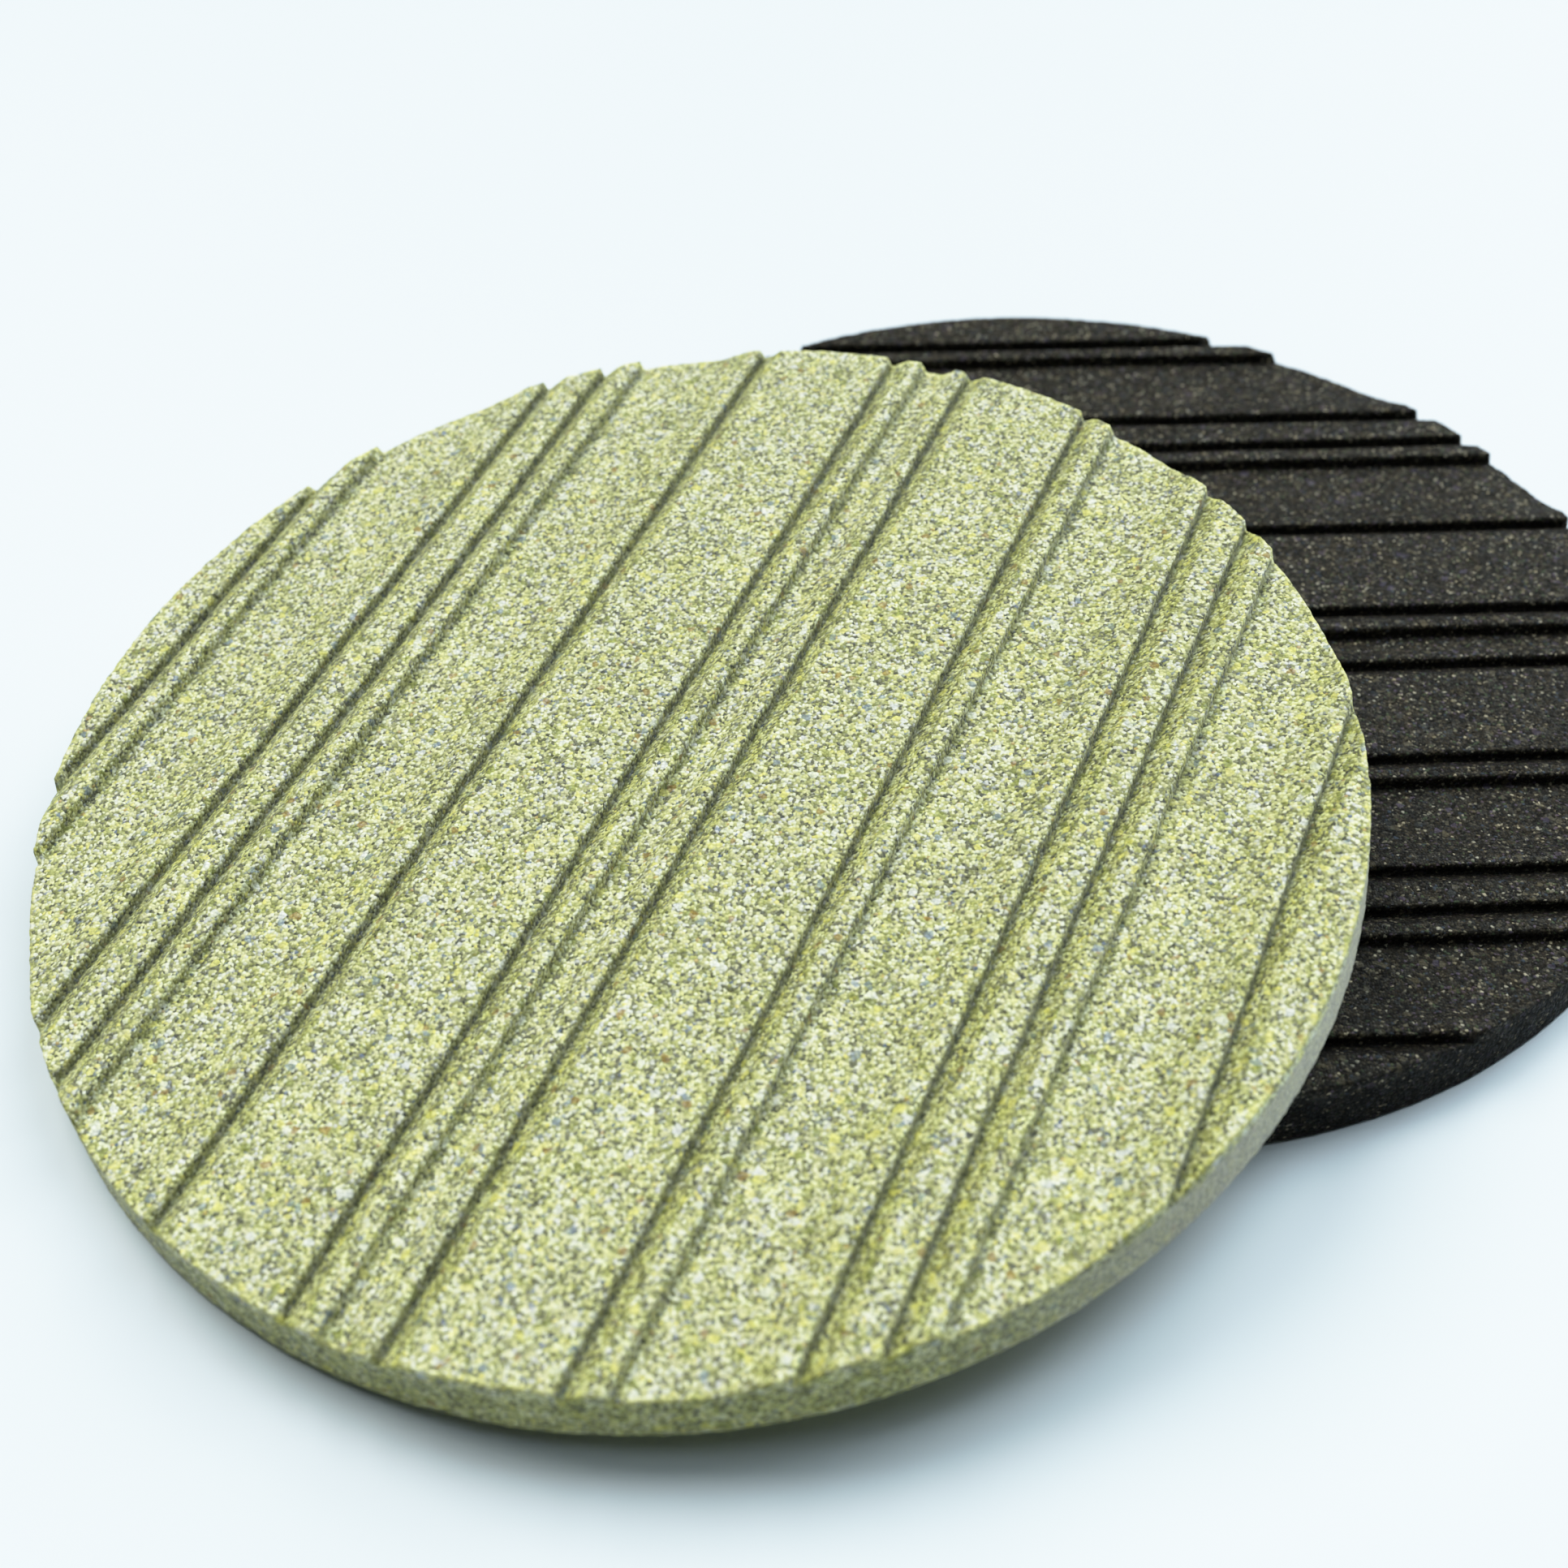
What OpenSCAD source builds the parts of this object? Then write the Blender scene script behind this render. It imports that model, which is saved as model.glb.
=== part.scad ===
// A set of two round whetstones with ribbed faces.
// The lower stone lies flat. The upper one leans on the lower one's rim with its own low edge
// on the ground, and lifts straight off.
// The origin is the centre of the lower stone's resting face, +Z is up and the front is -Y.

/* [Stones] */
// Diameter of each stone
stone_d = 100; // [80:1:120]
// Thickness of each stone, over the ribs
stone_t = 5; // [4:0.1:8]
// Small flat around the foot of each stone
foot_break = 0.3; // [0.1:0.1:0.6]
// How much less the radius is at the ribbed face than at the foot
draft = 0.35; // [0:0.05:0.8]

/* [Relief] */
// Height of the ribs above the foot of each step
relief_h = 1; // [0.5:0.1:1.3]
// Height of a sunk strip above the foot of its step
bed_lift = 0.12; // [0.05:0.01:0.4]
// Width of a slim raised strip
slim_w = 3; // [2.7:0.1:3.5]
// Width of a middling strip
middle_w = 4.2; // [4:0.1:5]
// Width of a sunk strip
sunk_w = 9.9; // [8:0.1:12]
// Width of a broad raised strip
broad_w = 11.5; // [9:0.1:13]
// How far the step wall leans out over its height
wall_run = 0.12; // [0.05:0.01:0.3]
// Run of the short ramp at the foot of each step
toe_run = 1.55; // [0.8:0.05:1.7]
// Width of the flat rib that ends a sunk strip
rib_w = 1.1; // [0.8:0.1:1.3]

/* [Layout] */
// Where the first step stands, measured from the middle of the upper stone
upper_first_step = 46.1; // [43:0.1:47]
// Where the first step stands, measured from the middle of the lower stone
lower_first_step = 45; // [43:0.1:47]
// Width of the upper stone's strips against the widths above
upper_strip_scale = 1.004; // [0.97:0.001:1.03]
// Width of the lower stone's strips against the widths above
lower_strip_scale = 0.989; // [0.97:0.001:1.03]
// How much wider the upper stone's strips get per millimetre up the pattern
upper_spread = 0.0007; // [0:0.0001:0.002]
// How much wider the lower stone's strips get per millimetre up the pattern
lower_spread = 0.0019; // [0:0.0001:0.002]
// Heading of the upper stone's ribs, turned from +X
upper_rib_heading = 65.2; // [0:0.1:180]
// Heading of the lower stone's ribs, turned from +X
lower_rib_heading = 2.3; // [0:0.1:180]
// Slope of the upper stone where it leans on the lower one
lean = 7.45; // [6:0.05:10]
// Heading in which the upper stone slopes down, turned from +X
lean_heading = 215.5; // [180:0.5:250]
// Clearance under the upper stone where it leans
seat_gap = 0.03; // [0.01:0.01:0.1]

/* [Hidden] */

$fn = 128;
stone_r = stone_d / 2;
top_r = stone_r - draft;
foot_z = stone_t - relief_h;
bed_z = foot_z + bed_lift;

// One repeat of the strips. A strip that follows a slim one is sunk, the others are raised.
strip_ws = [slim_w, sunk_w, middle_w, slim_w, sunk_w, broad_w, slim_w, middle_w, broad_w];

// The upward curve at the end of a sunk strip, as a share of the strip, and its facets
cove_share = 0.36;
cove_steps = 6;

// The block that carries the relief overhangs the round blank by this much
overhang = 1;

// The upper stone's lean: how far its centre stands from the lower one's, and how high
reach = top_r + stone_t / tan(lean) - stone_r * cos(lean);
lean_z = stone_t - (reach - top_r) * tan(lean) + seat_gap;

function strip_w(i) = strip_ws[i % len(strip_ws)];
function is_sunk(i) = i > 0 && strip_w(i - 1) == slim_w;

// The step below the one at u, past a strip of width w that widens up the pattern
function next_step(u, w, spread) = u - w * (1 + spread * (u - w / 2));

// Steps across the face, from the high side to the low side of the pattern
function step_places(first, scale, spread) =
    [for (i = 0, u = first; u > -stone_r; u = next_step(u, strip_w(i) * scale, spread), i = i + 1) u];

// Outline of one raised strip: a short ramp off the step's foot, then flat to the next step
function raised_strip(high, low) = [
    [high, foot_z],
    [high - toe_run, stone_t],
    [low + wall_run, stone_t]
];

// Outline of one sunk strip: flat bed, a cove that curves up, then a narrow rib
function sunk_strip(high, low) =
    let (rib_at = low + wall_run + rib_w, cove_run = cove_share * (high - low))
    concat(
        [[high, foot_z], [high - toe_run / 2, bed_z]],
        [for (k = [0 : cove_steps])
            [rib_at + cove_run * (1 - k / cove_steps),
             bed_z + (stone_t - bed_z) * pow(k / cove_steps, 2)]],
        [[low + wall_run, stone_t]]
    );

function relief_outline(steps) =
    let (edge = stone_r + overhang, count = len(steps))
    concat(
        [[edge, 0], [edge, stone_t], [steps[0] + wall_run, stone_t]],
        [for (i = [0 : count - 1])
            let (low = i + 1 < count ? steps[i + 1] : -edge)
            each is_sunk(i) ? sunk_strip(steps[i], low) : raised_strip(steps[i], low)],
        [[-edge, 0]]
    );

// The ribs run along Y and the pattern goes down along -X
module relief_block(steps) {
    rotate([90, 0, 0])
        linear_extrude(stone_d + 2 * overhang, center = true)
            polygon(relief_outline(steps));
}

// The rim leans in by the draft from the foot to the ribbed face
module round_blank() {
    lean_in = draft * (stone_t + overhang - foot_break) / (stone_t - foot_break);
    rotate_extrude()
        polygon([
            [0, 0],
            [stone_r - foot_break, 0],
            [stone_r, foot_break],
            [stone_r - lean_in, stone_t + overhang],
            [0, stone_t + overhang]
        ]);
}

// A stone lying flat at the origin, with its ribs along the given heading
module ribbed_stone(steps, rib_heading) {
    rotate(rib_heading + 90)
        intersection() {
            round_blank();
            relief_block(steps);
        }
}

module black_stone() {
    steps = step_places(lower_first_step, lower_strip_scale, lower_spread);
    color([0.13, 0.13, 0.12])
        ribbed_stone(steps, lower_rib_heading);
}

module green_stone() {
    steps = step_places(upper_first_step, upper_strip_scale, upper_spread);
    color([0.72, 0.74, 0.52])
        rotate(lean_heading)
            translate([reach, 0, lean_z])
                rotate([0, lean, 0])
                    rotate(-lean_heading)
                        ribbed_stone(steps, upper_rib_heading);
}

black_stone();
green_stone();
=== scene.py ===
"""Two round ribbed whetstones: an olive one leaning on the rim of a black one."""

import math

import bpy
import numpy as np
from mathutils import Matrix, Vector
from mathutils.geometry import delaunay_2d_cdt

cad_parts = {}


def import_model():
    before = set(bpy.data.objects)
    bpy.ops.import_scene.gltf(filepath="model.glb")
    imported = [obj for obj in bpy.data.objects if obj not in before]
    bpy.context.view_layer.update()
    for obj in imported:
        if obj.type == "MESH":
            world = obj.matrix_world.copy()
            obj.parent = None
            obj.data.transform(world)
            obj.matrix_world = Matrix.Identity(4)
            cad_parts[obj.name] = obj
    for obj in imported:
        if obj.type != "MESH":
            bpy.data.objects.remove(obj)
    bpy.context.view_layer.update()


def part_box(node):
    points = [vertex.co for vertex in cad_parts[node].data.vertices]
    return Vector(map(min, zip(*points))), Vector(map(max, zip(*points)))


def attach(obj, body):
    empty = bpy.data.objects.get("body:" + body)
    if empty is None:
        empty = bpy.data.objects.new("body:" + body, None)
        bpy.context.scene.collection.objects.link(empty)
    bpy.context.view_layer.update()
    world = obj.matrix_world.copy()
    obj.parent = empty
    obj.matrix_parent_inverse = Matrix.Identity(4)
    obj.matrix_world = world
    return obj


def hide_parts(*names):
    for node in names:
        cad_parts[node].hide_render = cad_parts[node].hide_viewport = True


MM = 0.001

# The relief, in millimetres. The strips follow the CAD's rule, and the coves curve a little less.
SLIM = 3.0
MIDDLE = 4.2
SUNK = 9.9
BROAD = 11.5
STRIP_WIDTHS = (SLIM, SUNK, MIDDLE, SLIM, SUNK, BROAD, SLIM, MIDDLE, BROAD)
RELIEF = 1.0
BED_LIFT = 0.12
WALL_RUN = 0.12
TOE_RUN = 1.55
RIB_WIDTH = 1.1
COVE_SHARE = 0.36
COVE_LIMIT = 3.6
COVE_POWER = 1.7
FOOT_BREAK = 0.3
DRAFT = 0.35

# Where the painted shade of a ramp ends past the step above it, and that of a wall before the step
# below
RAMP_END = TOE_RUN + 0.05
WALL_SHOWN = WALL_RUN * 0.9

# A point lower than this under the crests lies on the rim
RIM_DROP = RELIEF * 1.05

# Levels under the crests: down to where a crest reaches, and the corners between two levels
CREST_DROP = RELIEF * 0.45
NOTCH_TOP = RELIEF * 0.3
NOTCH_FOOT = RELIEF * 1.3

# How much painted shade the coves, the step walls and the rim get, as a share of that on a ramp
COVE_PAINTED_SHADE = 0.6
WALL_PAINTED_SHADE = 0.4
RIM_PAINTED_SHADE = 0.85

# Where the painted sheen on the rim lies, on the side lit from the right: the middle of it, and the
# cosines where it starts and is full
PAINTED_SHEEN_HEADING = math.radians(0.0)
PAINTED_SHEEN_START = 0.25
PAINTED_SHEEN_FULL = 0.7

# How dark the painted corner shade above a sunk strip is, as a share of that above a ramp
OPEN_NOTCH = 0.5

# How far inside the upper arris the painted dark corners end
NOTCH_INSET = 0.05

# Mesh spacing in millimetres
RING_SPACING = 0.28
LINE_SPACING = 0.3
BAND_SPACING = 0.45
FILL_SPACING = 0.52
FILL_SHAKE = 0.22
UNDER_SPACING = 1.1
RIM_ROWS = 11

# Rows of points beside each step: how far from it, and how far in from the upper arris they end
WALL_OFFSETS = (0.0, WALL_RUN * 0.5, WALL_RUN)
RAMP_OFFSETS = (-TOE_RUN - 0.14, -TOE_RUN, -1.1, -0.7, -0.35, WALL_RUN + 0.28, WALL_RUN + 0.7)
WALL_INSET = 0.4
RAMP_INSET = 0.8

# Rings inside the upper arris: how far in, and their spacing
ARRIS_RINGS = ((0.0, RING_SPACING), (0.25, RING_SPACING), (0.55, BAND_SPACING))

# The loose points of the upper face keep this far from the arris and from both sides of a step
FILL_INSET = 0.95
FILL_ABOVE = WALL_RUN + 1.0
FILL_BELOW = TOE_RUN + 0.3

# Rings of the resting face: how far in from its edge, and their spacing
UNDER_RINGS = ((0.35, 0.4), (0.9, 0.65))
UNDER_FILL_INSET = 1.5

# How the step lines wander: length of the wave, its share, and what is added to the seed
WANDER = ((17.0, 1.0, 0), (5.0, 0.7, 40), (1.3, 0.3, 80))

# How the faces are roughened: size of the lumps, their share, and what is added to the seed
ROUGHNESS = ((0.33, 1.0, 1), (0.95, 0.6, 2), (4.5, 0.5, 3))

# What breaks out of the arrises: small crumbs, and fewer and deeper chips
CRUMB_SIZE = 0.5
CRUMB_SHARE = 0.25
CRUMB_SEED = 4
CHIP_SIZE = 1.4
CHIP_RISE = 2.0
CHIP_START = 0.9
CHIP_DEPTH = 1.4
CHIP_SEED = 6

# The resting face is everything below this, and its points have their own seed
RESTING_LEVEL = 0.05
UNDER_SEED = 5

# How wide the crests, arrises and corners are, as spreads in millimetres
CREST_SPREAD = 0.16
RIM_SPREAD = 0.3
ARRIS_SPREAD = 0.4
# The width of the painted highlight on the rim arris
HIGHLIGHT_SPREAD = 0.25
NOTCH_SPREAD = 0.2

# The upper stone's slope, and where it slopes down to, turned from +X
LEAN = math.radians(7.45)
LEAN_HEADING = math.radians(215.5)

# One dict per stone: where the strips stand, how they spread, and how rough the stone is
GREEN = {
    "name": "green_stone",
    "first_step": 46.1,
    "strip_scale": 1.004,
    "spread": 0.0007,
    "rib_heading": math.radians(65.2),
    "wobble": 0.075,
    "grit": 0.045,
    "crumble": 0.05,
    "seed": 11,
}
BLACK = {
    "name": "black_stone",
    "first_step": 45.0,
    "strip_scale": 0.989,
    "spread": 0.0019,
    "rib_heading": math.radians(2.3),
    "wobble": 0.07,
    "grit": 0.03,
    "crumble": 0.07,
    "seed": 23,
}


# ---------------------------------------------------------------- smooth random numbers


# Knots along a line, along each side of a block, and a shift that keeps their numbers positive
LINE_KNOTS = 4096
BLOCK_KNOTS = 64
KNOT_SHIFT = 1000.0


def eased(x):
    """A soft step from 0 to 1."""
    return x * x * (3.0 - 2.0 * x)


def noise_1d(x, cell, seed):
    """Smooth noise from -1 to 1 along a line, with knots every cell."""
    knots = np.random.default_rng(seed).uniform(-1.0, 1.0, LINE_KNOTS)
    at = x / cell + KNOT_SHIFT
    low = np.floor(at).astype(int)
    share = eased(at - low)
    return knots[low % LINE_KNOTS] * (1.0 - share) + knots[(low + 1) % LINE_KNOTS] * share


def noise_3d(points, cell, seed):
    """Smooth noise from -1 to 1 in space, with knots every cell."""
    knots = np.random.default_rng(seed).uniform(-1.0, 1.0, (BLOCK_KNOTS,) * 3)
    at = points / cell + KNOT_SHIFT
    low = np.floor(at).astype(int)
    share = eased(at - low)
    total = np.zeros(len(points))
    for corner in np.ndindex(2, 2, 2):
        weight = np.ones(len(points))
        for axis in range(3):
            weight *= share[:, axis] if corner[axis] else 1.0 - share[:, axis]
        place = (low + np.array(corner)) % BLOCK_KNOTS
        total += weight * knots[place[:, 0], place[:, 1], place[:, 2]]
    return total


# ---------------------------------------------------------------- the relief


def step_places(stone, radius):
    """Steps across the face, from the high side to the low side of the pattern."""
    places = [stone["first_step"]]
    i = 0
    while True:
        width = STRIP_WIDTHS[i % len(STRIP_WIDTHS)] * stone["strip_scale"]
        middle = places[-1] - width / 2
        place = places[-1] - width * (1.0 + stone["spread"] * middle)
        if place < -radius:
            return places
        places.append(place)
        i += 1


def pattern_turn(stone):
    """How far a stone is turned from where its ribs run along Y and its pattern goes down to -X."""
    return stone["rib_heading"] + math.pi / 2


def is_sunk(i):
    """A strip after a slim one is sunk, and the others are raised."""
    return i > 0 and STRIP_WIDTHS[(i - 1) % len(STRIP_WIDTHS)] == SLIM


def step_lines(stone, places, along):
    """Where each step stands at each place along the ribs: nearly straight, never quite."""
    lines = np.empty((len(places), len(along)))
    for i, place in enumerate(places):
        seed = stone["seed"] * 100 + i
        waves = sum(share * noise_1d(along, cell, seed + add) for cell, share, add in WANDER)
        lines[i] = place + stone["wobble"] * waves
    return lines


def strip_position(stone, places, across, along):
    """For each point: how many steps it lies past, and how far it is from the step on each side."""
    lines = step_lines(stone, places, along)
    passed = (lines > across).sum(axis=0)
    column = np.arange(len(across))
    low = lines[np.minimum(passed, len(places) - 1), column]
    high = lines[np.maximum(passed - 1, 0), column]
    to_step = np.where(passed < len(places), across - low, np.inf)
    from_wall = np.where(passed > 0, high - across, np.inf)
    return passed, from_wall, to_step


def cove_rise(from_wall, to_step):
    """0 on the bed of a sunk strip, rising to 1 where its flat rib starts."""
    width = from_wall + to_step
    run = COVE_SHARE * np.where(np.isfinite(width), width, BROAD)
    rise = 1.0 - (to_step - WALL_RUN - RIB_WIDTH) / np.minimum(run, COVE_LIMIT)
    return np.clip(rise, 0.0, 1.0)


def on_sunk_strip(places, passed):
    """Which points lie on a sunk strip."""
    sunk = np.array([False] + [is_sunk(i) for i in range(len(places))])
    return sunk[passed]


def relief_height(stone, places, thick, across, along):
    """Height of the upper face at each point, in the stone's own frame."""
    passed, from_wall, to_step = strip_position(stone, places, across, along)
    foot = thick - RELIEF
    ramp = np.clip(from_wall / TOE_RUN, 0.0, 1.0)
    rise = cove_rise(from_wall, to_step) ** COVE_POWER
    raised = foot + RELIEF * ramp
    sunk = foot + BED_LIFT * eased(ramp) + (RELIEF - BED_LIFT) * rise
    height = np.where(on_sunk_strip(places, passed), sunk, raised)
    wall = foot + RELIEF * to_step / WALL_RUN
    return np.minimum(height, wall)


def painted_shade_share(stone, places, points, thick):
    """Painted shade for faces turned from the light: 1 on the ramps, a share on the coves, step
    walls and rim, and 0 on the flats.
    """
    passed, from_wall, to_step = strip_position(stone, places, points[:, 0], points[:, 1])
    sunk = on_sunk_strip(places, passed)
    on_ramp = np.where(from_wall < RAMP_END, 1.0, 0.0)
    rise = cove_rise(from_wall, to_step)
    on_cove = np.where(rise < 1.0, rise, 0.0) * COVE_PAINTED_SHADE
    share = np.where(sunk, on_cove, on_ramp)
    share = np.where(to_step < WALL_SHOWN, WALL_PAINTED_SHADE, share)
    on_rim = points[:, 2] < thick - RIM_DROP
    return np.where(on_rim, RIM_PAINTED_SHADE, share)


# ---------------------------------------------------------------- points and faces


def count_round(radius, spacing):
    """How many points go round a circle."""
    return int(round(2.0 * math.pi * radius / spacing))


def ring_of(radius, count):
    """Points evenly round a circle."""
    angle = np.arange(count) * 2.0 * math.pi / count
    return np.column_stack([radius * np.cos(angle), radius * np.sin(angle)])


def ring_points(radius, spacing):
    """Points round a circle, about one spacing apart."""
    return ring_of(radius, count_round(radius, spacing))


def row_points(stone, places, offset, spacing, reach):
    """Points in a row beside every step, at one distance from it."""
    along = np.arange(-reach, reach, spacing)
    lines = step_lines(stone, places, along) + offset
    points = np.concatenate([np.column_stack([line, along]) for line in lines])
    return points[np.hypot(points[:, 0], points[:, 1]) < reach]


def hex_points(reach, spacing, seed):
    """A slightly shaken grid of points inside a circle."""
    rng = np.random.default_rng(seed)
    xs = np.arange(-reach, reach, spacing)
    ys = np.arange(-reach, reach, spacing * math.sqrt(0.75))
    gx, gy = np.meshgrid(xs, ys)
    gx[1::2] += spacing / 2
    points = np.column_stack([gx.ravel(), gy.ravel()])
    points += rng.uniform(-FILL_SHAKE, FILL_SHAKE, points.shape) * spacing
    return points[np.hypot(points[:, 0], points[:, 1]) < reach]


def face_points(stone, places, radius):
    """Points of the upper face: dense beside the steps and the rim, wider on the flats."""
    rings = [ring_points(radius - inset, spacing) for inset, spacing in ARRIS_RINGS]
    rows = []
    for offset in WALL_OFFSETS:
        rows.append(row_points(stone, places, offset, LINE_SPACING, radius - WALL_INSET))
    for offset in RAMP_OFFSETS:
        rows.append(row_points(stone, places, offset, BAND_SPACING, radius - RAMP_INSET))
    fill = hex_points(radius - FILL_INSET, FILL_SPACING, stone["seed"])
    gap = fill[:, 0] - step_lines(stone, places, fill[:, 1])
    clear = ((gap > FILL_ABOVE) | (gap < -FILL_BELOW)).all(axis=0)
    return np.concatenate(rings + rows + [fill[clear]])


def under_points(radius, ring_count, seed):
    """Points of the resting face: as dense as the rim at its edge, wide in the middle."""
    edge = radius - FOOT_BREAK
    rings = [ring_of(edge, ring_count)]
    for inset, spacing in UNDER_RINGS:
        rings.append(ring_points(edge - inset, spacing))
    return np.concatenate(rings + [hex_points(edge - UNDER_FILL_INSET, UNDER_SPACING, seed)])


# Points closer than this are one point, and less than these is no area and no length
SAME_POINT = 1e-6
NO_AREA = 1e-9
NO_LENGTH = 1e-12


def triangles(points):
    """Delaunay triangles, wound anticlockwise, as rows of point numbers."""
    made = delaunay_2d_cdt([Vector(p) for p in points], [], [], 0, SAME_POINT)
    origin = np.array([o[0] for o in made[3]])
    faces = origin[np.array(made[2])]
    a, b, c = (points[faces[:, k]] for k in range(3))
    turn = (b[:, 0] - a[:, 0]) * (c[:, 1] - a[:, 1]) - (b[:, 1] - a[:, 1]) * (c[:, 0] - a[:, 0])
    real = np.abs(turn) > NO_AREA
    faces, turn = faces[real], turn[real]
    faces[turn < 0] = faces[turn < 0][:, ::-1]
    return faces


def rim_points(top_ring, radius):
    """Rows of points down the rim, from just under the upper arris out to the foot."""
    angle = np.arctan2(top_ring[:, 1], top_ring[:, 0])
    rows = []
    for k in range(1, RIM_ROWS + 1):
        share = k / RIM_ROWS
        height = top_ring[:, 2] * (1.0 - share) + FOOT_BREAK * share
        out = radius - DRAFT * (1.0 - share)
        flat = np.column_stack([out * np.cos(angle), out * np.sin(angle)])
        rows.append(np.column_stack([flat, height]))
    return rows


def band_faces(upper, lower):
    """Quads between two closed rows of point numbers that run anticlockwise."""
    after_upper = np.roll(upper, -1)
    after_lower = np.roll(lower, -1)
    return np.column_stack([upper, lower, after_lower, after_upper])


def rim_faces(count, starts):
    """Quads down the rim, between rows of count points that start at the given numbers."""
    ring = np.arange(count)
    pairs = zip(starts[:-1], starts[1:])
    return np.concatenate([band_faces(ring + upper, ring + lower) for upper, lower in pairs])


def stone_surface(stone, radius, thick):
    """The closed surface of one stone: points, triangles and quads, before the grit."""
    places = step_places(stone, radius)
    top_flat = face_points(stone, places, radius - DRAFT)
    top_height = relief_height(stone, places, thick, top_flat[:, 0], top_flat[:, 1])
    top = np.column_stack([top_flat, top_height])
    count = count_round(radius - DRAFT, RING_SPACING)
    rim = rim_points(top[:count], radius)
    under_flat = under_points(radius, count, stone["seed"] + UNDER_SEED)
    under = np.column_stack([under_flat, np.zeros(len(under_flat))])
    points = np.concatenate([top] + rim + [under])
    starts = [0] + [len(top) + count * k for k in range(RIM_ROWS + 1)]
    tris_under = triangles(under_flat)[:, ::-1] + starts[-1]
    tris = np.concatenate([triangles(top_flat), tris_under])
    return points, tris, rim_faces(count, starts), places


def point_normals(points, tris, quads):
    """Area-weighted normals at the points."""
    split = np.concatenate([tris, quads[:, [0, 1, 2]], quads[:, [0, 2, 3]]])
    a, b, c = (points[split[:, k]] for k in range(3))
    face = np.cross(b - a, c - a)
    normal = np.zeros_like(points)
    for k in range(3):
        np.add.at(normal, split[:, k], face)
    length = np.linalg.norm(normal, axis=1, keepdims=True)
    return normal / np.maximum(length, NO_LENGTH)


# A point of the rim takes its arris from this share of its distance from the middle
JUST_INSIDE = 0.999


def rim_edge(stone, points, places, radius, thick, spread):
    """1 on the upper arris of the rim, falling to 0 within a fraction of a millimetre."""
    out = np.hypot(points[:, 0], points[:, 1]) - radius + DRAFT
    across, along = points[:, 0] * JUST_INSIDE, points[:, 1] * JUST_INSIDE
    arris = relief_height(stone, places, thick, across, along)
    return np.exp(-((out / RIM_SPREAD) ** 2) - ((points[:, 2] - arris) / spread) ** 2)


def near_arris(stone, points, places, radius, thick):
    """1 on the crests of the steps and on the upper rim, falling to 0 within half a millimetre."""
    gap = points[:, 0] - step_lines(stone, places, points[:, 1])
    crest = np.exp(-(((gap - WALL_RUN) / CREST_SPREAD) ** 2)).max(axis=0)
    high = points[:, 2] > thick - CREST_DROP
    crest = np.where(high, crest, 0.0)
    return np.maximum(crest, rim_edge(stone, points, places, radius, thick, ARRIS_SPREAD))


def weathered(stone, points, tris, quads, places, radius, thick):
    """Grit on every face, and crumbs broken out of the arrises."""
    normal = point_normals(points, tris, quads)
    seed = stone["seed"]
    lumps = sum(share * noise_3d(points, cell, seed + add) for cell, share, add in ROUGHNESS)
    push = stone["grit"] * lumps
    arris = near_arris(stone, points, places, radius, thick)
    crumbs = noise_3d(points, CRUMB_SIZE, seed + CRUMB_SEED) + CRUMB_SHARE
    chips = noise_3d(points, CHIP_SIZE, seed + CHIP_SEED) * CHIP_RISE - CHIP_START
    broken = np.clip(crumbs, 0.0, 1.0) + CHIP_DEPTH * np.clip(chips, 0.0, 1.0)
    push -= arris * stone["crumble"] * broken
    push = np.where(points[:, 2] < RESTING_LEVEL, np.minimum(push, 0.0), push)
    return points + normal * push[:, None]


def notch_shade(stone, points, places, radius, thick):
    """Painted shade: 1 in the corner at the foot of each step, falling to 0 within a fraction of a
    millimetre.
    """
    inside = np.hypot(points[:, 0], points[:, 1]) < radius - DRAFT - NOTCH_INSET
    level = (points[:, 2] > thick - NOTCH_FOOT) & (points[:, 2] < thick - NOTCH_TOP)
    gap = points[:, 0] - step_lines(stone, places, points[:, 1])
    depth = np.array([OPEN_NOTCH if is_sunk(i) else 1.0 for i in range(len(places))])
    corner = (depth[:, None] * np.exp(-((gap / NOTCH_SPREAD) ** 2))).max(axis=0)
    return np.where(inside & level, corner, 0.0)


def painted_rim_sheen(stone, points, thick):
    """Painted sheen: 1 on the right side of the rim, which the light from the right makes pale,
    falling to 0 on its front.
    """
    heading = np.arctan2(points[:, 1], points[:, 0]) + pattern_turn(stone)
    facing = np.cos(heading - PAINTED_SHEEN_HEADING)
    on_rim = points[:, 2] < thick - RIM_DROP
    share = np.clip((facing - PAINTED_SHEEN_START) / (PAINTED_SHEEN_FULL - PAINTED_SHEEN_START), 0.0, 1.0)
    return np.where(on_rim, eased(share), 0.0)


def add_value(mesh, name, values):
    """A value at each point, for the material to read."""
    layer = mesh.attributes.new(name, "FLOAT", "POINT")
    layer.data.foreach_set("value", values.astype(np.float32))


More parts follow.
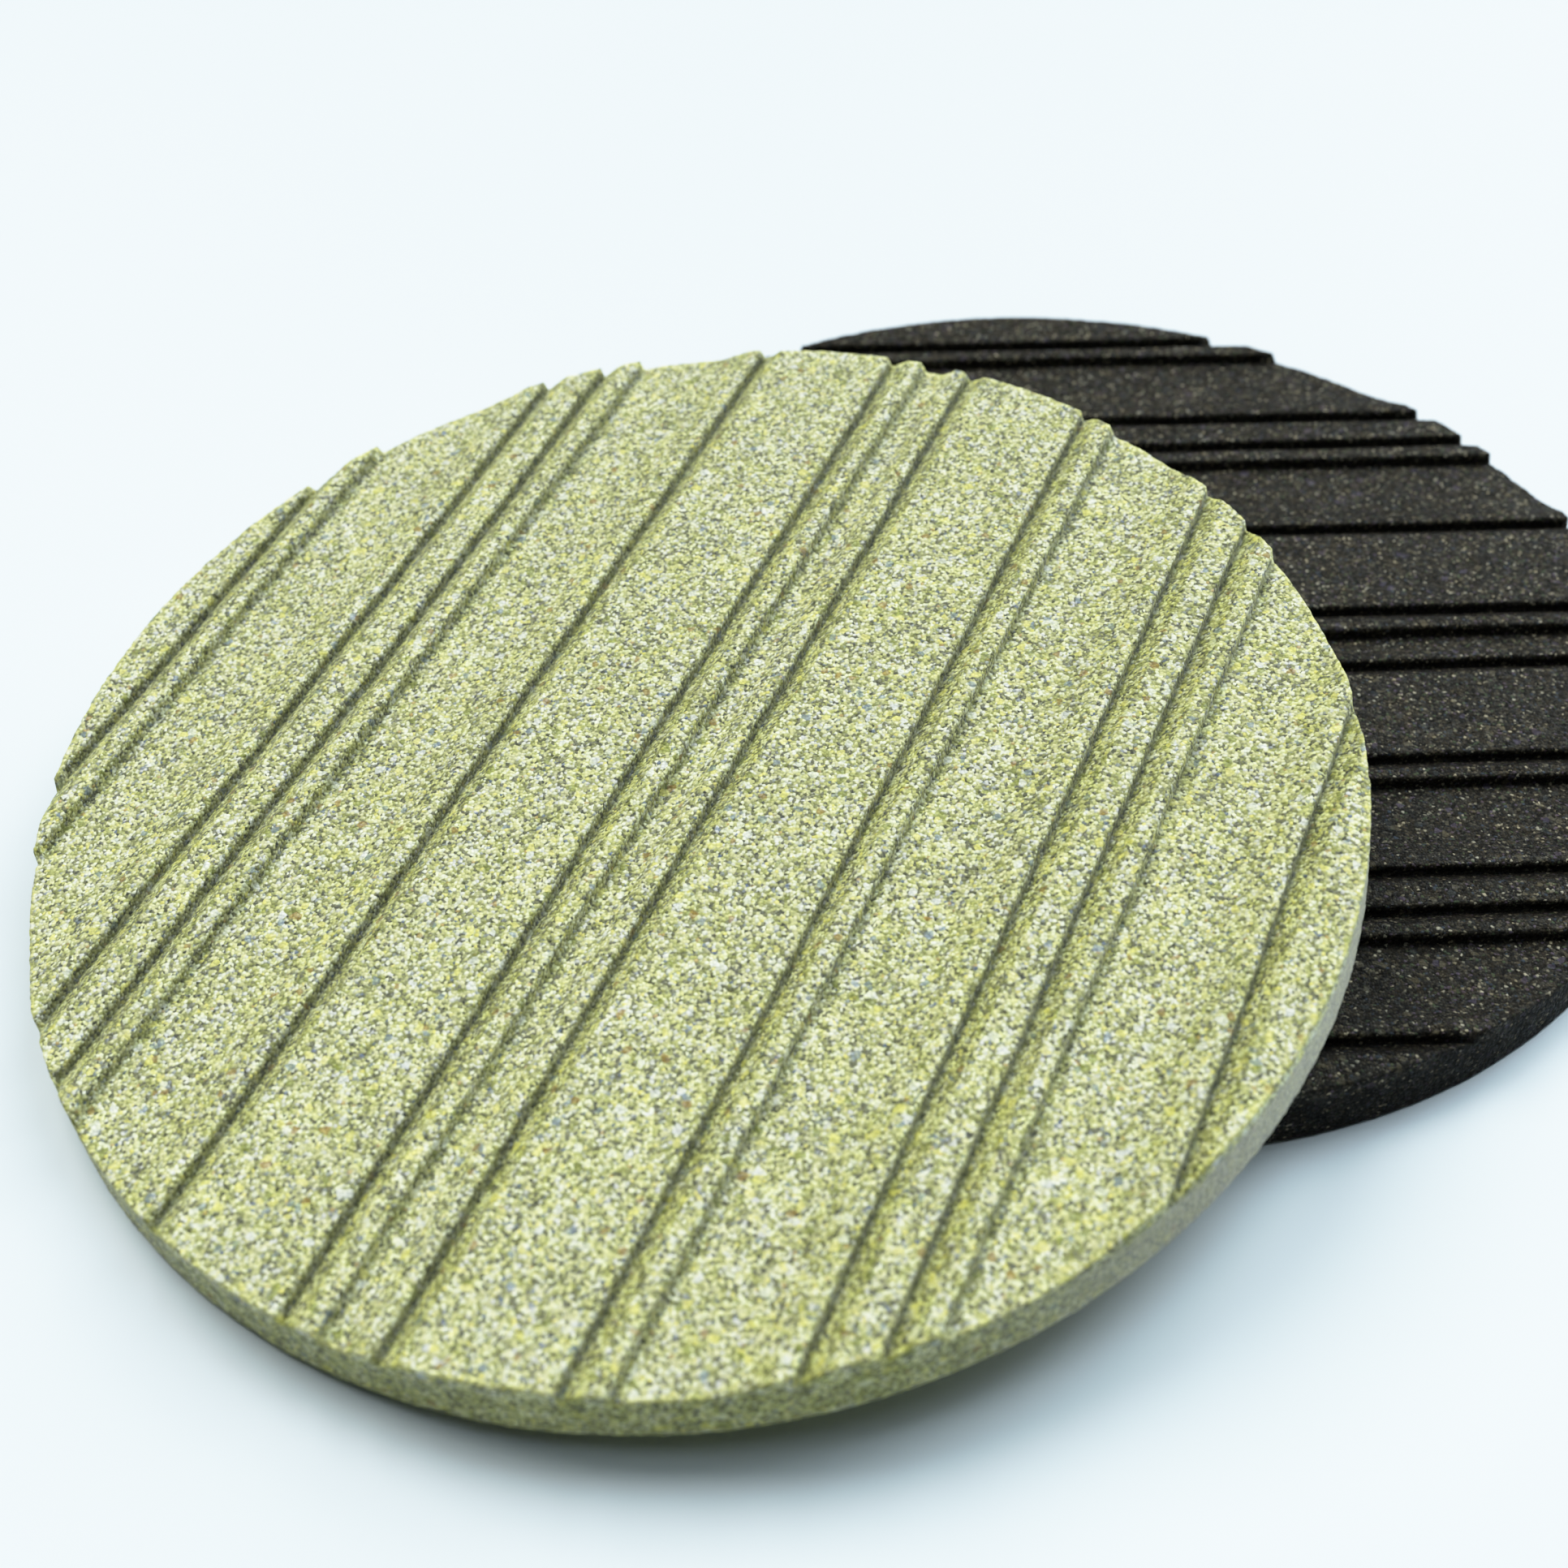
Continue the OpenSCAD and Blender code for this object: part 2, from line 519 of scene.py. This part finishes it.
def build_stone(stone, radius, thick, place):
    """One stone as a mesh object, put where the CAD node is."""
    points, tris, quads, places = stone_surface(stone, radius, thick)
    marks = {
        # notch: painted shade in the corner at the foot of each step
        "notch": notch_shade(stone, points, places, radius, thick),
        # edge: a painted highlight on the upper arris of the rim
        "edge": rim_edge(stone, points, places, radius, thick, HIGHLIGHT_SPREAD),
        # raw: painted shade on the ramps, coves, step walls and rim, which face away from the light
        "painted_shade": painted_shade_share(stone, places, points, thick),
        # dust: a painted pale sheen on the right side of the rim, where the light falls
        "painted_sheen": painted_rim_sheen(stone, points, thick),
    }
    points = weathered(stone, points, tris, quads, places, radius, thick)
    mesh = bpy.data.meshes.new(stone["name"] + "_mesh")
    faces = [tuple(f) for f in tris.tolist()] + [tuple(f) for f in quads.tolist()]
    mesh.from_pydata((points * MM).tolist(), [], faces)
    for name, values in marks.items():
        add_value(mesh, name, values)
    mesh.shade_smooth()
    mesh.transform(place @ Matrix.Rotation(pattern_turn(stone), 4, "Z"))
    mesh.validate()
    piece = bpy.data.objects.new(stone["name"] + "_grit", mesh)
    bpy.context.scene.collection.objects.link(piece)
    return piece


# ---------------------------------------------------------------- materials


class Nodes:
    """A few short calls that keep the node code readable."""

    def __init__(self, name):
        self.material = bpy.data.materials.new(name)
        self.material.use_nodes = True
        self.tree = self.material.node_tree
        self.tree.nodes.clear()
        self.output = self.add("ShaderNodeOutputMaterial")

    def add(self, kind, **settings):
        node = self.tree.nodes.new(kind)
        for key, value in settings.items():
            setattr(node, key, value)
        return node

    def link(self, out, socket):
        self.tree.links.new(out, socket)

    def set(self, socket, value):
        if isinstance(value, bpy.types.NodeSocket):
            self.link(value, socket)
        else:
            socket.default_value = value

    def math(self, operation, a, b=0.0, clamp=False):
        node = self.add("ShaderNodeMath", operation=operation, use_clamp=clamp)
        self.set(node.inputs[0], a)
        self.set(node.inputs[1], b)
        return node.outputs[0]

    def mix(self, blend, factor, a, b):
        node = self.add("ShaderNodeMix", data_type="RGBA", blend_type=blend)
        self.set(node.inputs["Factor"], factor)
        self.set(node.inputs[6], a)
        self.set(node.inputs[7], b)
        return node.outputs[2]

    def noise(self, where, scale, detail=2.0):
        node = self.add("ShaderNodeTexNoise")
        self.link(where, node.inputs["Vector"])
        node.inputs["Scale"].default_value = scale
        node.inputs["Detail"].default_value = detail
        return node.outputs["Fac"]

    def cells(self, where, scale):
        node = self.add("ShaderNodeTexVoronoi", feature="F1")
        self.link(where, node.inputs["Vector"])
        node.inputs["Scale"].default_value = scale
        return node

    def ramp(self, factor, stops, interpolation="LINEAR"):
        node = self.add("ShaderNodeValToRGB")
        node.color_ramp.interpolation = interpolation
        elements = node.color_ramp.elements
        while len(elements) < len(stops):
            elements.new(0.5)
        for element, (position, color) in zip(elements, stops):
            element.position = position
            element.color = (*color, 1.0)
        self.set(node.inputs["Fac"], factor)
        return node.outputs["Color"]

    def grey(self, value):
        """A value from 0 up as a grey colour."""
        node = self.add("ShaderNodeCombineColor")
        for name in ("Red", "Green", "Blue"):
            self.set(node.inputs[name], value)
        return node.outputs["Color"]

    def remap(self, value, low, high, new_low, new_high):
        node = self.add("ShaderNodeMapRange")
        self.set(node.inputs["Value"], value)
        node.inputs["From Min"].default_value = low
        node.inputs["From Max"].default_value = high
        node.inputs["To Min"].default_value = new_low
        node.inputs["To Max"].default_value = new_high
        return node.outputs["Result"]

    def attribute(self, name):
        """A value that the mesh carries at its points."""
        return self.add("ShaderNodeAttribute", attribute_name=name).outputs["Fac"]

    def channel(self, color, name):
        node = self.add("ShaderNodeSeparateColor")
        self.link(color, node.inputs["Color"])
        return node.outputs[name]


def grain_palette(nodes, pick, palette):
    """One flat colour per grain. The palette holds shares and colours."""
    stops = []
    position = 0.0
    for share, color in palette:
        stops.append((position, color))
        position += share
    return nodes.ramp(pick, stops, "CONSTANT")


GREEN_PALETTE = (
    (0.13, (0.97, 0.97, 0.68)),
    (0.14, (0.84, 0.80, 0.44)),
    (0.15, (0.63, 0.60, 0.29)),
    (0.15, (0.43, 0.42, 0.16)),
    (0.13, (0.26, 0.26, 0.09)),
    (0.11, (0.12, 0.115, 0.07)),
    (0.06, (0.04, 0.04, 0.03)),
    (0.07, (0.74, 0.72, 0.64)),
    (0.02, (0.86, 0.76, 0.22)),
    (0.025, (0.29, 0.31, 0.32)),
    (0.009, (0.10, 0.14, 0.24)),
    (0.006, (0.50, 0.34, 0.13)),
)

GREEN_LUMPS = (
    (0.3, (0.90, 0.82, 0.26)),
    (0.3, (0.90, 0.90, 0.80)),
    (0.2, (0.26, 0.28, 0.05)),
    (0.08, (0.34, 0.20, 0.04)),
    (0.12, (0.24, 0.30, 0.36)),
)

BLACK_PALETTE = (
    (0.20, (0.006, 0.005, 0.004)),
    (0.24, (0.014, 0.012, 0.009)),
    (0.20, (0.025, 0.020, 0.014)),
    (0.13, (0.039, 0.033, 0.024)),
    (0.09, (0.062, 0.052, 0.037)),
    (0.03, (0.085, 0.062, 0.080)),
    (0.03, (0.057, 0.070, 0.038)),
    (0.02, (0.042, 0.050, 0.062)),
    (0.04, (0.180, 0.157, 0.108)),
    (0.02, (0.380, 0.335, 0.240)),
)

BLACK_LUMPS = (
    (0.5, (0.10, 0.085, 0.055)),
    (0.3, (0.035, 0.036, 0.034)),
    (0.2, (0.07, 0.055, 0.075)),
)


# How many patches of each kind of noise lie in a metre
CLOUDS_PER_M = 300.0
PAINTED_SHADE_PATCHES_PER_M = 700.0
WARM_PATCHES_PER_M = 900.0
CLUMPS_PER_M = 1300.0
HIGHLIGHT_PATCHES_PER_M = 1500.0

# How large the small grains and the lumps are against the grains, and how much a lump shows
SMALL_SIZE = 0.6
LUMP_SIZE = 2.2
LUMP_SHOWN = 0.7

# A grain takes painted shade towards the gap between these distances from its middle
GAP_START = 0.3
GAP_FULL = 0.8

# The part of each noise that is spread over the whole of its range
CLOUD_NOISE = (0.3, 0.7)
CLUMP_NOISE = (0.32, 0.68)
WARM_NOISE = (0.35, 0.65)
SPECK_NOISE = (0.35, 0.6)
PAINTED_SHADE_NOISE = (0.3, 0.7)

# How dark and how pale the clouds are, and how much the painted shade on faces turned from the
# light varies
CLOUD_SHADES = (0.92, 1.08)
PAINTED_SHADE_SHARES = (0.7, 1.3)

# The bumps against the grains, and how much the level of a grain counts against its dip
BUMP_SIZE = 0.5
LEVEL_WEIGHT = 0.9

SHEEN_ROUGHNESS = 0.4


def grain_color(nodes, where, grains, palette, look):
    """A colour for each grain, small grains between them, a few larger lumps, and painted shade in
    the gaps.
    """
    size = look["grain"] * MM
    small = nodes.cells(where, 1.0 / (size * SMALL_SIZE))
    color = nodes.mix(
        "MIX",
        look["fines"],
        grain_palette(nodes, nodes.channel(grains.outputs["Color"], "Red"), palette),
        grain_palette(nodes, nodes.channel(small.outputs["Color"], "Green"), palette),
    )
    lumps = nodes.cells(where, 1.0 / (size * LUMP_SIZE))
    draw = nodes.channel(lumps.outputs["Color"], "Red")
    kind = nodes.channel(lumps.outputs["Color"], "Blue")
    here = nodes.math("LESS_THAN", draw, look["lump_share"])
    shown = nodes.math("MULTIPLY", here, LUMP_SHOWN)
    color = nodes.mix("MIX", shown, color, grain_palette(nodes, kind, look["lumps"]))
    # Painted shade in the gaps between grains
    gap_shade = nodes.remap(grains.outputs["Distance"], GAP_START, GAP_FULL, 1.0, look["gap"])
    return nodes.mix("MULTIPLY", 1.0, color, nodes.grey(gap_shade))


def mottled(nodes, where, color, look):
    """The colour in warm and cool patches, and a grey that shades it in dark and pale ones."""
    warmth = nodes.remap(nodes.noise(where, WARM_PATCHES_PER_M), *WARM_NOISE, 0.0, 1.0)
    tint = nodes.ramp(warmth, ((0.0, look["cool"]), (1.0, look["warm"])))
    color = nodes.mix("MULTIPLY", 1.0, color, tint)
    clouds = nodes.remap(nodes.noise(where, CLOUDS_PER_M, 3.0), *CLOUD_NOISE, *CLOUD_SHADES)
    clumps = nodes.remap(nodes.noise(where, CLUMPS_PER_M), *CLUMP_NOISE, *look["clumps"])
    shade = nodes.math("MULTIPLY", clouds, clumps)
    return color, nodes.grey(shade)


def marked(nodes, where, color, look):
    """Mottling, and the marks that the mesh carries: a painted highlight on the arris, painted
    shade in the step corners and on the faces turned from the light, and a painted sheen on the
    right of the rim.
    """
    color, shade = mottled(nodes, where, color, look)
    # A painted highlight in patches along the upper arris of the rim
    speck = nodes.noise(where, HIGHLIGHT_PATCHES_PER_M, 1.0)
    share = nodes.remap(speck, *SPECK_NOISE, 0.0, look["painted_highlight_share"])
    painted_highlight = nodes.math("MULTIPLY", nodes.attribute("edge"), share)
    color = nodes.mix("MIX", painted_highlight, color, (*look["edge"], 1.0))
    # Painted shade in the step corners
    painted_corner_shade = nodes.math("MULTIPLY", nodes.attribute("notch"), look["notch_share"])
    color = nodes.mix("MIX", painted_corner_shade, color, (*look["notch"], 1.0))
    color = nodes.mix("MULTIPLY", 1.0, color, shade)
    # Painted shade on the faces turned from the light
    patchy = nodes.remap(nodes.noise(where, PAINTED_SHADE_PATCHES_PER_M, 3.0), *PAINTED_SHADE_NOISE, *PAINTED_SHADE_SHARES)
    painted_shade = nodes.math("MULTIPLY", nodes.attribute("painted_shade"), patchy, clamp=True)
    color = nodes.mix("MULTIPLY", painted_shade, color, (*look["painted_shade"], 1.0))
    # A painted pale sheen on the right side of the rim
    painted_sheen = nodes.math("MULTIPLY", nodes.attribute("painted_sheen"), look["painted_sheen_share"])
    return nodes.mix("MIX", painted_sheen, color, (*look["painted_sheen"], 1.0))


def grain_bumps(nodes, grains, look):
    """Each grain stands a little higher or lower than the next, with a dip between them."""
    level = nodes.math("MULTIPLY", nodes.channel(grains.outputs["Color"], "Green"), LEVEL_WEIGHT)
    dip = nodes.math("MULTIPLY", grains.outputs["Distance"], -1.0)
    bump = nodes.add("ShaderNodeBump")
    bump.inputs["Strength"].default_value = look["bump"]
    bump.inputs["Distance"].default_value = look["grain"] * MM * BUMP_SIZE
    nodes.link(nodes.math("ADD", dip, level), bump.inputs["Height"])
    return bump.outputs["Normal"]


def grit_material(name, palette, look):
    """Bonded grit: coloured grains with painted shade in the gaps, mottling, marks of painted light
    and shade, and small bumps.
    """
    nodes = Nodes(name)
    where = nodes.add("ShaderNodeTexCoord").outputs["Object"]
    grains = nodes.cells(where, 1.0 / (look["grain"] * MM))
    color = grain_color(nodes, where, grains, palette, look)
    shine = nodes.channel(grains.outputs["Color"], "Blue")
    rough = nodes.remap(shine, 0.0, 1.0, look["shiny"], look["dull"])
    body = nodes.add("ShaderNodeBsdfPrincipled")
    nodes.link(marked(nodes, where, color, look), body.inputs["Base Color"])
    nodes.link(rough, body.inputs["Roughness"])
    nodes.link(grain_bumps(nodes, grains, look), body.inputs["Normal"])
    body.inputs["Specular IOR Level"].default_value = look["specular"]
    body.inputs["Sheen Weight"].default_value = look["sheen"]
    body.inputs["Sheen Roughness"].default_value = SHEEN_ROUGHNESS
    nodes.link(body.outputs["BSDF"], nodes.output.inputs["Surface"])
    return nodes.material


GREEN_LOOK = {
    "grain": 0.24,
    "fines": 0.18,
    # How dark the painted shade in the gaps between grains is
    "gap": 0.7,
    "lumps": GREEN_LUMPS,
    "lump_share": 0.07,
    "cool": (1.01, 1.01, 1.08),
    "warm": (0.95, 0.97, 0.70),
    # A painted highlight on the upper arris of the rim
    "edge": (0.94, 0.90, 0.28),
    "painted_highlight_share": 0.55,
    # Painted shade in the step corners
    "notch": (0.035, 0.033, 0.025),
    "notch_share": 0.66,
    # A painted pale sheen on the right side of the rim
    "painted_sheen": (0.46, 0.42, 0.34),
    "painted_sheen_share": 0.6,
    # Painted shade on the faces turned from the light
    "painted_shade": (0.75, 0.755, 0.50),
    "clumps": (0.86, 1.14),
    "specular": 0.4,
    "shiny": 0.55,
    "dull": 0.95,
    "sheen": 0.25,
    "bump": 0.6,
}

BLACK_LOOK = {
    "grain": 0.21,
    "fines": 0.15,
    # How dark the painted shade in the gaps between grains is
    "gap": 0.7,
    "lumps": BLACK_LUMPS,
    "lump_share": 0.05,
    "cool": (0.95, 1.0, 1.08),
    "warm": (1.05, 1.0, 0.9),
    # A painted highlight on the upper arris of the rim
    "edge": (0.04, 0.036, 0.03),
    "painted_highlight_share": 0.3,
    # Painted shade in the step corners
    "notch": (0.004, 0.004, 0.004),
    "notch_share": 0.5,
    # A painted pale sheen on the right side of the rim (none on the black stone)
    "painted_sheen": (0.02, 0.02, 0.02),
    "painted_sheen_share": 0.0,
    # Painted shade on the faces turned from the light
    "painted_shade": (0.36, 0.34, 0.33),
    "clumps": (0.75, 1.3),
    "specular": 0.06,
    "shiny": 0.4,
    "dull": 0.9,
    "sheen": 0.0,
    "bump": 0.7,
}


# The floor: half its side in metres, its two tones, how they are spread, and how it shines
FLOOR_HALF = 3.0
FLOOR_TONES = ((0.0, (0.78, 0.85, 0.90)), (1.0, (0.80, 0.865, 0.91)))
FLOOR_PATCHES_PER_M = 9.0
FLOOR_NOISE = (0.3, 0.7)
FLOOR_ROUGHNESS = 0.55
FLOOR_SPECULAR = 0.25


def floor_material():
    """Plain pale table top with a faint unevenness in its tone."""
    nodes = Nodes("pale_floor")
    where = nodes.add("ShaderNodeTexCoord").outputs["Object"]
    tone = nodes.remap(nodes.noise(where, FLOOR_PATCHES_PER_M), *FLOOR_NOISE, 0.0, 1.0)
    body = nodes.add("ShaderNodeBsdfPrincipled")
    nodes.link(nodes.ramp(tone, FLOOR_TONES), body.inputs["Base Color"])
    body.inputs["Roughness"].default_value = FLOOR_ROUGHNESS
    body.inputs["Specular IOR Level"].default_value = FLOOR_SPECULAR
    nodes.link(body.outputs["BSDF"], nodes.output.inputs["Surface"])
    return nodes.material


# ---------------------------------------------------------------- floor, light, camera


def add_floor():
    """A plain table top under the stones."""
    mesh = bpy.data.meshes.new("floor_mesh")
    turns = ((-1, -1), (1, -1), (1, 1), (-1, 1))
    corners = [(x * FLOOR_HALF, y * FLOOR_HALF, 0) for x, y in turns]
    mesh.from_pydata(corners, [], [(0, 1, 2, 3)])
    floor = bpy.data.objects.new("floor", mesh)
    bpy.context.scene.collection.objects.link(floor)
    mesh.materials.append(floor_material())


def add_sun(name, heading, height, spread, strength, color):
    """A far soft light. Heading and height say where it stands, in degrees."""
    data = bpy.data.lights.new(name, "SUN")
    data.energy = strength
    data.angle = math.radians(spread)
    data.color = color
    light = bpy.data.objects.new(name, data)
    bpy.context.scene.collection.objects.link(light)
    turn, rise = math.radians(heading), math.radians(height)
    flat = math.cos(rise)
    towards = Vector((math.cos(turn) * flat, math.sin(turn) * flat, math.sin(rise)))
    light.rotation_mode = "QUATERNION"
    light.rotation_quaternion = towards.to_track_quat("Z", "Y")


# The room: how strong it is as a light, how strong it looks to the camera, and its colour
ROOM_LIGHT = 0.03
ROOM_SEEN = 1.3
ROOM_COLOR = (0.90, 0.97, 1.0, 1.0)


def add_world():
    """A dim room that looks pale to the camera. The panels give the light."""
    world = bpy.data.worlds.new("soft_room")
    bpy.context.scene.world = world
    world.use_nodes = True
    tree = world.node_tree
    tree.nodes.clear()
    path = tree.nodes.new("ShaderNodeLightPath")
    level = tree.nodes.new("ShaderNodeMapRange")
    level.inputs["To Min"].default_value = ROOM_LIGHT
    level.inputs["To Max"].default_value = ROOM_SEEN
    background = tree.nodes.new("ShaderNodeBackground")
    background.inputs["Color"].default_value = ROOM_COLOR
    output = tree.nodes.new("ShaderNodeOutputWorld")
    tree.links.new(path.outputs["Is Camera Ray"], level.inputs["Value"])
    tree.links.new(level.outputs["Result"], background.inputs["Strength"])
    tree.links.new(background.outputs["Background"], output.inputs["Surface"])


# Soft panels far off: name, heading and height in degrees, strength, colour
PANELS = (
    ("top_panel", 0.0, 88.0, 0.5, (0.85, 1.0, 1.08)),
    ("back_left_panel", 135.0, 52.0, 2.5, (0.95, 1.0, 1.0)),
    ("back_right_panel", 45.0, 52.0, 1.7, (0.85, 1.0, 1.08)),
    ("low_right_panel", 45.0, 22.0, 1.75, (0.90, 1.0, 1.04)),
)
PANEL_SPREAD = 40.0

# Where the camera stands, how far it looks down, how wide it sees (radians) and its lens
CAMERA_PLACE = Vector((-24.23, -129.74, 115.48)) * MM
CAMERA_PITCH = 0.782
FIELD_OF_VIEW = 0.749196
SENSOR_WIDTH = 36.0
F_STOP = 28.0
FOCUS_DISTANCE = 150.0 * MM
NEAREST_SEEN = 5.0 * MM

# The brightest level in the scene, and pairs of a level and what it is shown as
WHITE_LEVEL = 1.6
TONE_SHOULDER = ((0.35, 0.35), (0.7, 0.69), (1.0, 0.87), (1.3, 0.955), (1.6, 0.99))

# The curve that bends all three colours at once
COMBINED_CURVE = 3


def add_camera():
    """The camera, aimed straight along +Y and down, with its focus on the upper stone."""
    data = bpy.data.cameras.new("camera")
    data.sensor_width = SENSOR_WIDTH
    data.angle = FIELD_OF_VIEW
    data.clip_start = NEAREST_SEEN
    camera = bpy.data.objects.new("camera", data)
    bpy.context.scene.collection.objects.link(camera)
    camera.location = CAMERA_PLACE
    camera.rotation_euler = (math.pi / 2 - CAMERA_PITCH, 0.0, 0.0)
    look = Vector((0.0, math.cos(CAMERA_PITCH), -math.sin(CAMERA_PITCH)))
    focus = bpy.data.objects.new("focus", None)
    bpy.context.scene.collection.objects.link(focus)
    focus.location = CAMERA_PLACE + look * FOCUS_DISTANCE
    data.dof.use_dof = True
    data.dof.focus_object = focus
    data.dof.aperture_fstop = F_STOP
    bpy.context.scene.camera = camera


def set_tone():
    """Plain tones with a soft shoulder, so that the lit table stays just under white."""
    view = bpy.context.scene.view_settings
    view.view_transform = "Standard"
    view.use_curve_mapping = True
    curve = view.curve_mapping
    curve.white_level = (WHITE_LEVEL, WHITE_LEVEL, WHITE_LEVEL)
    tone = curve.curves[COMBINED_CURVE]
    tone.points[0].location = (0.0, 0.0)
    *lower, (_, whitest) = TONE_SHOULDER
    tone.points[1].location = (1.0, whitest)
    for level, shown in lower:
        tone.points.new(level / WHITE_LEVEL, shown)
    curve.update()


# ---------------------------------------------------------------- the scene


def upper_place(low, high, radius):
    """The upper stone's frame, from its lean and the sides of its box that its foot touches."""
    turn = Matrix.Rotation(LEAN_HEADING, 4, "Z")
    lean = turn @ Matrix.Rotation(LEAN, 4, "Y") @ turn.inverted()
    up = lean.to_3x3() @ Vector((0, 0, 1))
    foot = FOOT_BREAK * MM
    reach_x = radius * MM * math.sqrt(1.0 - up.x**2) + foot * up.x
    reach_y = radius * MM * math.sqrt(1.0 - up.y**2) + foot * up.y
    rise = (radius * MM - foot) * math.sin(LEAN)
    centre = Vector((high.x - reach_x, high.y - reach_y, low.z + rise))
    return Matrix.Translation(centre) @ lean


def main():
    """Builds the scene round the CAD parts."""
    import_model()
    low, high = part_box("black_stone")
    radius = (high.x - low.x) / 2 / MM
    thick = (high.z - low.z) / MM
    lower = build_stone(BLACK, radius, thick, Matrix.Identity(4))
    upper = build_stone(GREEN, radius, thick, upper_place(*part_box("green_stone"), radius))
    upper.data.materials.append(grit_material("green_grit_look", GREEN_PALETTE, GREEN_LOOK))
    lower.data.materials.append(grit_material("black_grit_look", BLACK_PALETTE, BLACK_LOOK))
    for piece, node, slot in (
        (lower, "black_stone", "black_grit"),
        (upper, "green_stone", "green_grit"),
    ):
        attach(piece, node)
        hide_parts(node)
    add_floor()
    add_world()
    for name, heading, height, strength, color in PANELS:
        add_sun(name, heading, height, PANEL_SPREAD, strength, color)
    add_camera()
    set_tone()


main()
